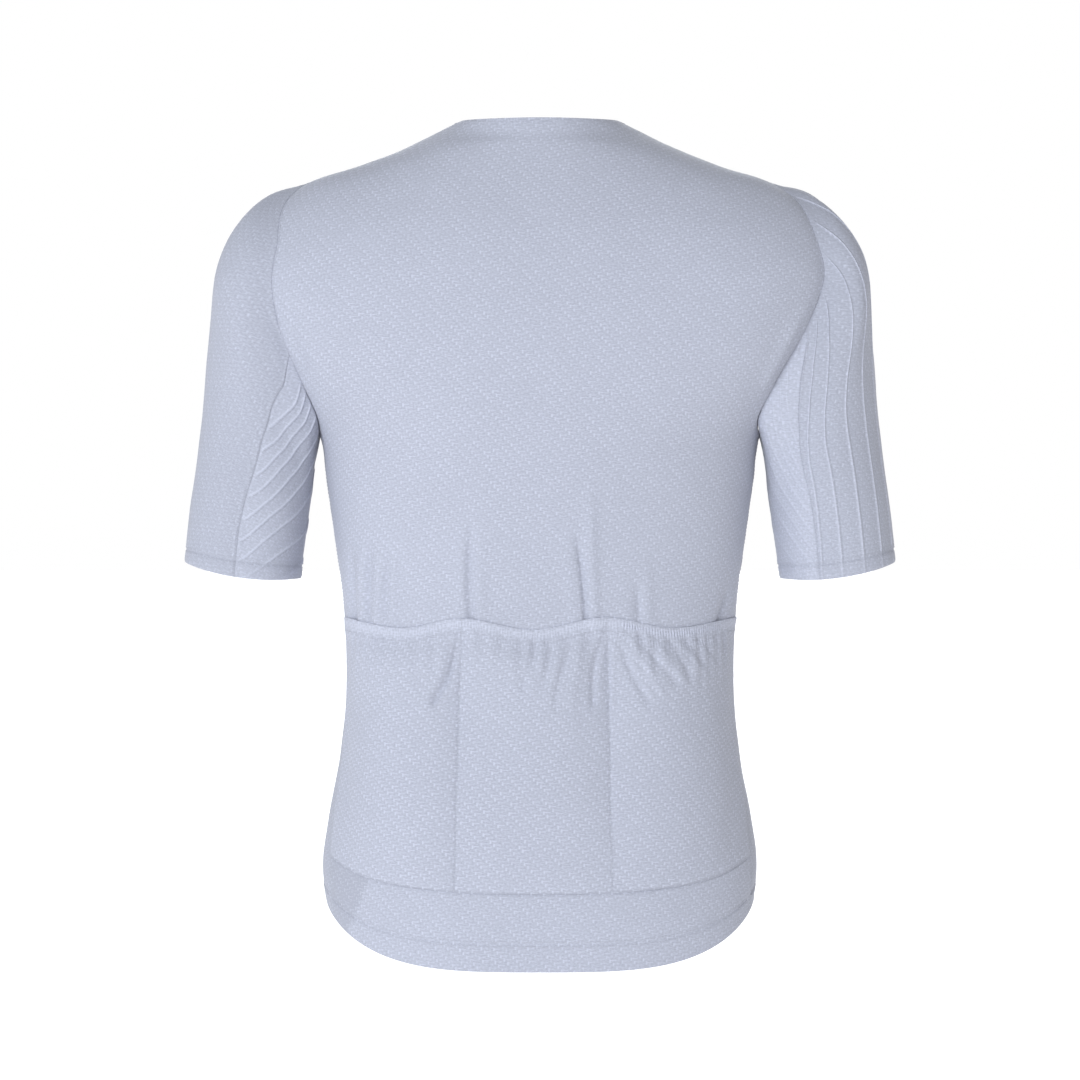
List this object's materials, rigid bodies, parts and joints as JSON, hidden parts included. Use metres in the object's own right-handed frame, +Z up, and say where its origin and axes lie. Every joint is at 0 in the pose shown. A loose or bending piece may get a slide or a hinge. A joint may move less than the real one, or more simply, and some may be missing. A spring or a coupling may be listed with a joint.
{
  "type": "cycling jersey",
  "caption": "Short-sleeved cycling jersey filled out to its worn shape with nobody in it: plain back, gathered rear pockets, ribbed sleeves and a full front zip",
  "frame": {"origin": "between the shoulders, level with the points where neck meets shoulder, in the mid-plane and midway between chest and back", "axes": "+Z up, +Y out of the front where the zip is, -Y out of the back where the pockets are, +X on the wearer's right"},
  "size_m": [0.5962, 0.2299, 0.7006],
  "materials": {
    "body_cloth": "fine woven-look stretch knit, matt, pale lavender grey",
    "sleeve_cloth": "ribbed stretch knit, matt, pale lavender grey",
    "zip_tape": "woven zip tape with a bead of closed teeth, off-white",
    "zip_metal": "satin grey lacquered metal"
  },
  "bodies": {
    "jersey": {"back": "body_cloth", "back_hem_band": "body_cloth", "pocket_panel": "body_cloth", "front_left": "body_cloth", "front_right": "body_cloth", "sleeve_outer_left": "sleeve_cloth", "sleeve_outer_right": "sleeve_cloth", "sleeve_under_left": "sleeve_cloth", "sleeve_under_right": "sleeve_cloth", "zip_tape_left": "zip_tape", "zip_tape_right": "zip_tape", "zip_slider": "zip_metal"},
    "pull": {"zip_pull": "zip_metal"}
  },
  "joints": [
    {"name": "zip_pull_hinge", "type": "hinge", "parent": "jersey", "child": "pull", "pos_m": [0, 0.05785, -0.06092], "axis": [1, 0, 0], "range_deg": [0, 140]}
  ]
}
